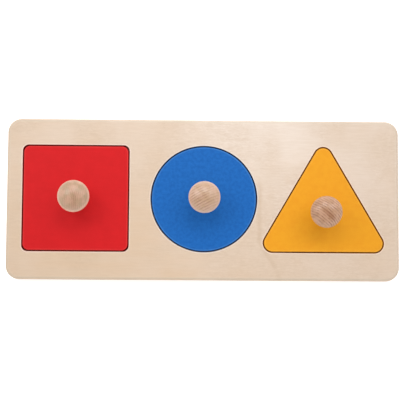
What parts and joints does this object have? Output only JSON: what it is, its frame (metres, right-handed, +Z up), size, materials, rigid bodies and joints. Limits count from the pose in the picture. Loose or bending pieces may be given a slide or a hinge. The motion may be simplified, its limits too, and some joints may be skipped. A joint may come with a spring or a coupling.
{
  "type": "wooden shape sorter",
  "caption": "Flat wooden shape sorter: a plywood board with a square, a circle and a triangle that lift out of their cut-outs by turned knobs.",
  "frame": {"origin": "middle of the board's underside, on the surface that it lies on", "axes": "+X along the board from the square to the triangle, +Y across it towards the triangle's apex, +Z up through the knobs"},
  "size_m": [0.3, 0.123, 0.0383],
  "materials": {
    "birch_plywood": "pale plywood, fine sanded, satin clear coat",
    "red_paint": "plywood with satin red water-based paint",
    "blue_paint": "plywood with satin blue water-based paint",
    "yellow_paint": "plywood with satin yellow water-based paint",
    "turned_beech": "turned beech, end grain up, thin satin clear coat",
    "zinc_plated_steel": "bright zinc plating"
  },
  "bodies": {
    "board": {"board_base": "birch_plywood", "board_frame": "birch_plywood"},
    "square_piece": {"square_inset": "red_paint", "square_knob": "turned_beech", "square_knob_screw": "zinc_plated_steel"},
    "circle_carrier": {"circle_knob_screw": "zinc_plated_steel"},
    "circle_piece": {"circle_inset": "blue_paint", "circle_knob": "turned_beech"},
    "triangle_piece": {"triangle_inset": "yellow_paint", "triangle_knob": "turned_beech", "triangle_knob_screw": "zinc_plated_steel"}
  },
  "joints": [
    {"name": "square_lift", "type": "slide", "parent": "board", "child": "square_piece", "axis": [0, 0, 1], "range_m": [0, 0.06]},
    {"name": "circle_lift", "type": "slide", "parent": "board", "child": "circle_carrier", "axis": [0, 0, 1], "range_m": [0, 0.06]},
    {"name": "circle_turn", "type": "hinge", "parent": "circle_carrier", "child": "circle_piece", "pos_m": [0.0004, 0.0006, 0.0033], "axis": [0, 0, 1], "continuous": true},
    {"name": "triangle_lift", "type": "slide", "parent": "board", "child": "triangle_piece", "axis": [0, 0, 1], "range_m": [0, 0.06]}
  ]
}
